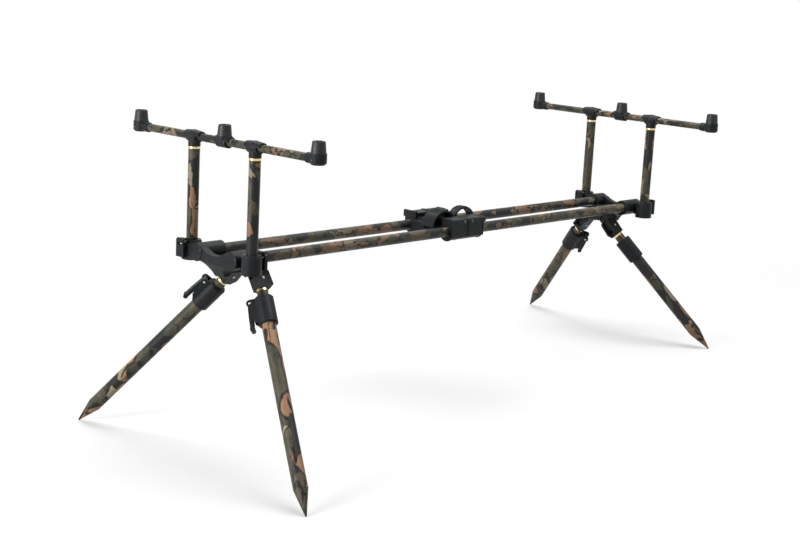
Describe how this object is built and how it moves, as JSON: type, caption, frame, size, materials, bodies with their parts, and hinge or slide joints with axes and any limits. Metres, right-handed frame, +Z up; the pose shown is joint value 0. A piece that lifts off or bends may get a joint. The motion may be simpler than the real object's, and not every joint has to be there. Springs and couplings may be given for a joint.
{
  "type": "rod pod",
  "caption": "Folding fishing rod pod: paired bars with a centre hinge, goalposts with rod rests for bite alarms, and telescopic spiked legs with lever locks.",
  "frame": {"origin": "ground under the middle of the bounding box", "axes": "+X from the front goalpost to the rear one, +Z up; the front is the end on the longer legs"},
  "size_m": [0.9948, 0.5022, 0.4628],
  "materials": {
    "black_plastic": "satin, moulded",
    "camo_tube": "semi-gloss woodland camouflage print",
    "brass": "polished",
    "steel": "plain"
  },
  "bodies": {
    "rear_half": {"rear_hinge_half": "black_plastic", "rear_bars": "camo_tube", "rear_latch_pin": "steel", "rear_yoke": "black_plastic", "rear_socket_arms": "black_plastic", "rear_arm_dowels": "steel", "rear_leg_pins": "steel", "fold_pin": "steel"},
    "front_half": {"front_hinge_half": "black_plastic", "front_bars": "camo_tube", "front_latch_pin": "steel", "front_yoke": "black_plastic", "front_socket_arms": "black_plastic", "front_arm_dowels": "steel", "front_leg_pins": "steel"},
    "front_latch_lever": {"front_latch_lever": "black_plastic"},
    "front_goalpost": {"front_uprights": "camo_tube", "front_upright_rings": "brass", "front_tees": "black_plastic", "front_rod_bar": "camo_tube", "front_rod_holders": "black_plastic", "front_rest_caps": "black_plastic", "front_alarm_inserts": "brass"},
    "front_left_clamp_lever": {"front_left_clamp_lever": "black_plastic"},
    "front_left_leg_upper": {"front_left_leg_bracket": "black_plastic", "front_left_leg_ring": "brass", "front_left_inner_leg": "camo_tube"},
    "front_left_leg_lower": {"front_left_leg_lock": "black_plastic", "front_left_outer_leg": "camo_tube"},
    "front_left_lock_lever": {"front_left_lock_lever": "black_plastic"},
    "front_right_clamp_lever": {"front_right_clamp_lever": "black_plastic"},
    "front_right_leg_upper": {"front_right_leg_bracket": "black_plastic", "front_right_leg_ring": "brass", "front_right_inner_leg": "camo_tube"},
    "front_right_leg_lower": {"front_right_leg_lock": "black_plastic", "front_right_outer_leg": "camo_tube"},
    "front_right_lock_lever": {"front_right_lock_lever": "black_plastic"},
    "rear_latch_lever": {"rear_latch_lever": "black_plastic"},
    "rear_goalpost": {"rear_uprights": "camo_tube", "rear_upright_rings": "brass", "rear_tees": "black_plastic", "rear_rod_bar": "camo_tube", "rear_rod_holders": "black_plastic", "rear_rest_caps": "black_plastic", "rear_alarm_inserts": "brass"},
    "rear_left_clamp_lever": {"rear_left_clamp_lever": "black_plastic"},
    "rear_left_leg_upper": {"rear_left_leg_bracket": "black_plastic", "rear_left_leg_ring": "brass", "rear_left_inner_leg": "camo_tube"},
    "rear_left_leg_lower": {"rear_left_leg_lock": "black_plastic", "rear_left_outer_leg": "camo_tube"},
    "rear_left_lock_lever": {"rear_left_lock_lever": "black_plastic"},
    "rear_right_clamp_lever": {"rear_right_clamp_lever": "black_plastic"},
    "rear_right_leg_upper": {"rear_right_leg_bracket": "black_plastic", "rear_right_leg_ring": "brass", "rear_right_inner_leg": "camo_tube"},
    "rear_right_leg_lower": {"rear_right_leg_lock": "black_plastic", "rear_right_outer_leg": "camo_tube"},
    "rear_right_lock_lever": {"rear_right_lock_lever": "black_plastic"}
  },
  "joints": [
    {"name": "centre_fold", "type": "hinge", "parent": "rear_half", "child": "front_half", "pos_m": [0.02513, 0, 0.24263], "axis": [0, 1, 0], "range_deg": [-100, 0]},
    {"name": "front_latch", "type": "hinge", "parent": "front_half", "child": "front_latch_lever", "pos_m": [0.01839, 0, 0.27297], "axis": [0, 1, 0], "range_deg": [0, 40]},
    {"name": "front_goalpost_lift", "type": "slide", "parent": "front_half", "child": "front_goalpost", "axis": [0.0583, 0, 0.9983], "range_m": [0, 0.012]},
    {"name": "front_left_clamp", "type": "hinge", "parent": "front_half", "child": "front_left_clamp_lever", "pos_m": [-0.4046, -0.064, 0.29417], "axis": [0, -1, 0], "range_deg": [0, 90]},
    {"name": "front_left_leg_fold", "type": "hinge", "parent": "front_half", "child": "front_left_leg_upper", "pos_m": [-0.38064, -0.0313, 0.24639], "axis": [0.0383, -0.7547, 0.6549], "range_deg": [0, 100]},
    {"name": "front_left_leg_slide", "type": "slide", "parent": "front_left_leg_upper", "child": "front_left_leg_lower", "axis": [0.3315, 0.6279, 0.7042], "range_m": [-0.18, 0]},
    {"name": "front_left_lock", "type": "hinge", "parent": "front_left_leg_lower", "child": "front_left_lock_lever", "pos_m": [-0.40516, -0.04008, 0.2172], "axis": [0.6395, 0.3992, -0.657], "range_deg": [0, 85]},
    {"name": "front_right_clamp", "type": "hinge", "parent": "front_half", "child": "front_right_clamp_lever", "pos_m": [-0.44054, 0.064, 0.29627], "axis": [0, 1, 0], "range_deg": [0, 90]},
    {"name": "front_right_leg_fold", "type": "hinge", "parent": "front_half", "child": "front_right_leg_upper", "pos_m": [-0.38064, 0.0313, 0.24639], "axis": [-0.0383, -0.7547, -0.6549], "range_deg": [0, 100]},
    {"name": "front_right_leg_slide", "type": "slide", "parent": "front_right_leg_upper", "child": "front_right_leg_lower", "axis": [0.3315, -0.6279, 0.7042], "range_m": [-0.18, 0]},
    {"name": "front_right_lock", "type": "hinge", "parent": "front_right_leg_lower", "child": "front_right_lock_lever", "pos_m": [-0.40413, 0.06036, 0.23479], "axis": [0.6936, 0.6681, 0.2692], "range_deg": [0, 85]},
    {"name": "rear_latch", "type": "hinge", "parent": "rear_half", "child": "rear_latch_lever", "pos_m": [0.03536, 0, 0.27198], "axis": [0, -1, 0], "range_deg": [0, 40]},
    {"name": "rear_goalpost_lift", "type": "slide", "parent": "rear_half", "child": "rear_goalpost", "axis": [0.0583, 0, 0.9983], "range_m": [0, 0.012]},
    {"name": "rear_left_clamp", "type": "hinge", "parent": "rear_half", "child": "rear_left_clamp_lever", "pos_m": [0.49387, -0.064, 0.24169], "axis": [0, -1, 0], "range_deg": [0, 90]},
    {"name": "rear_left_leg_fold", "type": "hinge", "parent": "rear_half", "child": "rear_left_leg_upper", "pos_m": [0.42858, -0.0313, 0.19913], "axis": [-0.0383, 0.7547, -0.6549], "range_deg": [0, 100]},
    {"name": "rear_left_leg_slide", "type": "slide", "parent": "rear_left_leg_upper", "child": "rear_left_leg_lower", "axis": [-0.2473, 0.6279, 0.738], "range_m": [-0.12, 0]},
    {"name": "rear_left_lock", "type": "hinge", "parent": "rear_left_leg_lower", "child": "rear_left_lock_lever", "pos_m": [0.44953, -0.04008, 0.16727], "axis": [0.7117, -0.3992, 0.5781], "range_deg": [0, 85]},
    {"name": "rear_right_clamp", "type": "hinge", "parent": "rear_half", "child": "rear_right_clamp_lever", "pos_m": [0.45793, 0.064, 0.24379], "axis": [0, 1, 0], "range_deg": [0, 90]},
    {"name": "rear_right_leg_fold", "type": "hinge", "parent": "rear_half", "child": "rear_right_leg_upper", "pos_m": [0.42858, 0.0313, 0.19913], "axis": [0.0383, 0.7547, 0.6549], "range_deg": [0, 100]},
    {"name": "rear_right_leg_slide", "type": "slide", "parent": "rear_right_leg_upper", "child": "rear_right_leg_lower", "axis": [-0.2473, -0.6279, 0.738], "range_m": [-0.12, 0]},
    {"name": "rear_right_lock", "type": "hinge", "parent": "rear_right_leg_lower", "child": "rear_right_lock_lever", "pos_m": [0.44953, 0.04008, 0.16727], "axis": [-0.7117, -0.3992, -0.5781], "range_deg": [0, 85]}
  ]
}
